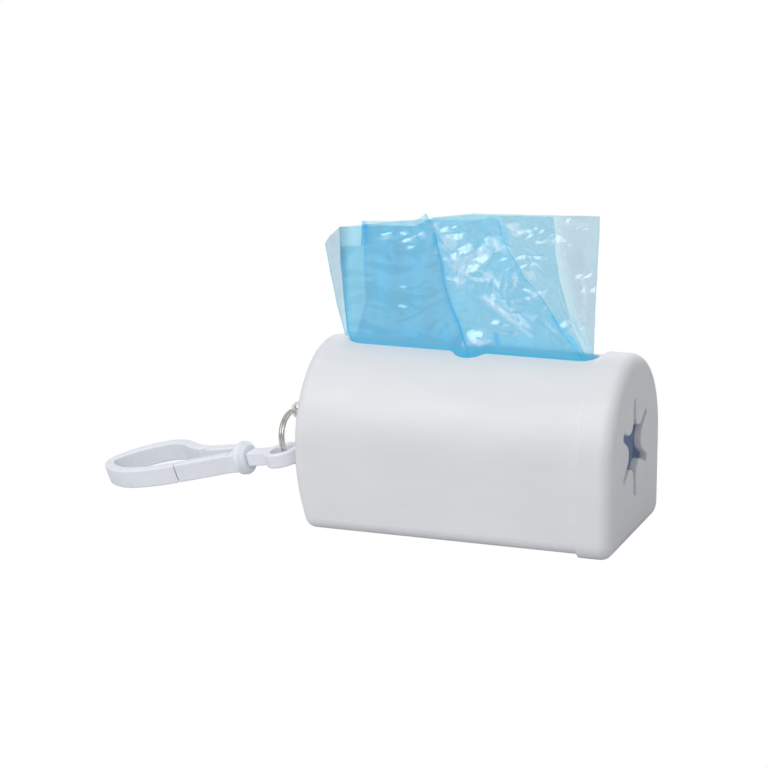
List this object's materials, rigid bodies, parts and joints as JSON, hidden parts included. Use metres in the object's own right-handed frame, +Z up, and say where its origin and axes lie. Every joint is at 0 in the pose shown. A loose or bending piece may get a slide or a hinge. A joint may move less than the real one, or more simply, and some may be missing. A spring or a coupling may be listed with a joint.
{
  "type": "dog waste bag dispenser",
  "caption": "Arch-shaped dispenser for a roll of waste bags, with a push-on end cap, a bag drawn out of the top slot and a swivel snap hook on a split ring.",
  "frame": {"origin": "middle of the housing's flat base", "axes": "+X along the housing to the end cap, +Y to the far side, +Z up to the bag slot"},
  "size_m": [0.1391, 0.045, 0.076],
  "materials": {
    "body_plastic": "satin",
    "clip_plastic": "satin",
    "film": "thin wrinkled film",
    "roll_film": "tightly wound film",
    "core_paper": "matte",
    "ring_steel": "polished"
  },
  "bodies": {
    "base": {"housing": "body_plastic"},
    "cap": {"end_cap": "body_plastic"},
    "petal_1": {"petal_1": "body_plastic"},
    "petal_2": {"petal_2": "body_plastic"},
    "petal_3": {"petal_3": "body_plastic"},
    "petal_4": {"petal_4": "body_plastic"},
    "petal_5": {"petal_5": "body_plastic"},
    "petal_6": {"petal_6": "body_plastic"},
    "roll": {"bag_roll": "roll_film", "roll_core": "core_paper"},
    "bag": {"lead_bag": "film"},
    "ring": {"split_ring": "ring_steel"},
    "eye": {"swivel_eye": "clip_plastic"},
    "hook": {"clip_hook": "clip_plastic"},
    "gate": {"clip_gate": "clip_plastic"}
  },
  "joints": [
    {"name": "cap_pull", "type": "slide", "parent": "base", "child": "cap", "axis": [1, 0, 0], "range_m": [0, 0.04]},
    {"name": "petal_1_flex", "type": "hinge", "parent": "cap", "child": "petal_1", "pos_m": [0.0399, 0.00907, 0.02263], "axis": [0, 0.0698, -0.9976], "range_deg": [0, 20], "stiffness_Nm_per_rad": 0.02},
    {"name": "petal_2_flex", "type": "hinge", "parent": "cap", "child": "petal_2", "pos_m": [0.0399, 0.0032, 0.03134], "axis": [0, 0.8988, -0.4384], "range_deg": [0, 20], "stiffness_Nm_per_rad": 0.02},
    {"name": "petal_3_flex", "type": "hinge", "parent": "cap", "child": "petal_3", "pos_m": [0.0399, -0.00727, 0.03061], "axis": [0, 0.829, 0.5592], "range_deg": [0, 20], "stiffness_Nm_per_rad": 0.02},
    {"name": "petal_4_flex", "type": "hinge", "parent": "cap", "child": "petal_4", "pos_m": [0.0399, -0.01187, 0.02117], "axis": [0, -0.0698, 0.9976], "range_deg": [0, 20], "stiffness_Nm_per_rad": 0.02},
    {"name": "petal_5_flex", "type": "hinge", "parent": "cap", "child": "petal_5", "pos_m": [0.0399, -0.006, 0.01246], "axis": [0, -0.8988, 0.4384], "range_deg": [0, 20], "stiffness_Nm_per_rad": 0.02},
    {"name": "petal_6_flex", "type": "hinge", "parent": "cap", "child": "petal_6", "pos_m": [0.0399, 0.00447, 0.0132], "axis": [0, -0.829, -0.5592], "range_deg": [0, 20], "stiffness_Nm_per_rad": 0.02},
    {"name": "roll_spin", "type": "hinge", "parent": "base", "child": "roll", "pos_m": [0, 0, 0.0187], "axis": [1, 0, 0], "range_deg": [0, 87.3]},
    {"name": "bag_pull", "type": "slide", "parent": "base", "child": "bag", "axis": [0, 0, 1], "range_m": [0, 0.025]},
    {"name": "ring_swing", "type": "hinge", "parent": "base", "child": "ring", "pos_m": [-0.0433, 0, 0.0233], "axis": [0, 1, 0], "range_deg": [0, 70]},
    {"name": "eye_swing", "type": "hinge", "parent": "ring", "child": "eye", "pos_m": [-0.04386, -0.00745, 0.01348], "axis": [0.2712, 0.5234, -0.8078], "range_deg": [-45, 45]},
    {"name": "hook_swivel", "type": "hinge", "parent": "eye", "child": "hook", "pos_m": [-0.05554, -0.00403, 0.01105], "axis": [-0.9501, 0.2369, -0.2028], "continuous": true},
    {"name": "gate_flex", "type": "hinge", "parent": "hook", "child": "gate", "pos_m": [-0.05923, -0.00406, 0.01006], "axis": [0.2511, 0.1954, -0.948], "range_deg": [0, 18], "stiffness_Nm_per_rad": 0.2}
  ],
  "couplings": [
    {"joint": "bag_pull", "follows": "roll_spin", "m_per_rad": 0.0164}
  ]
}
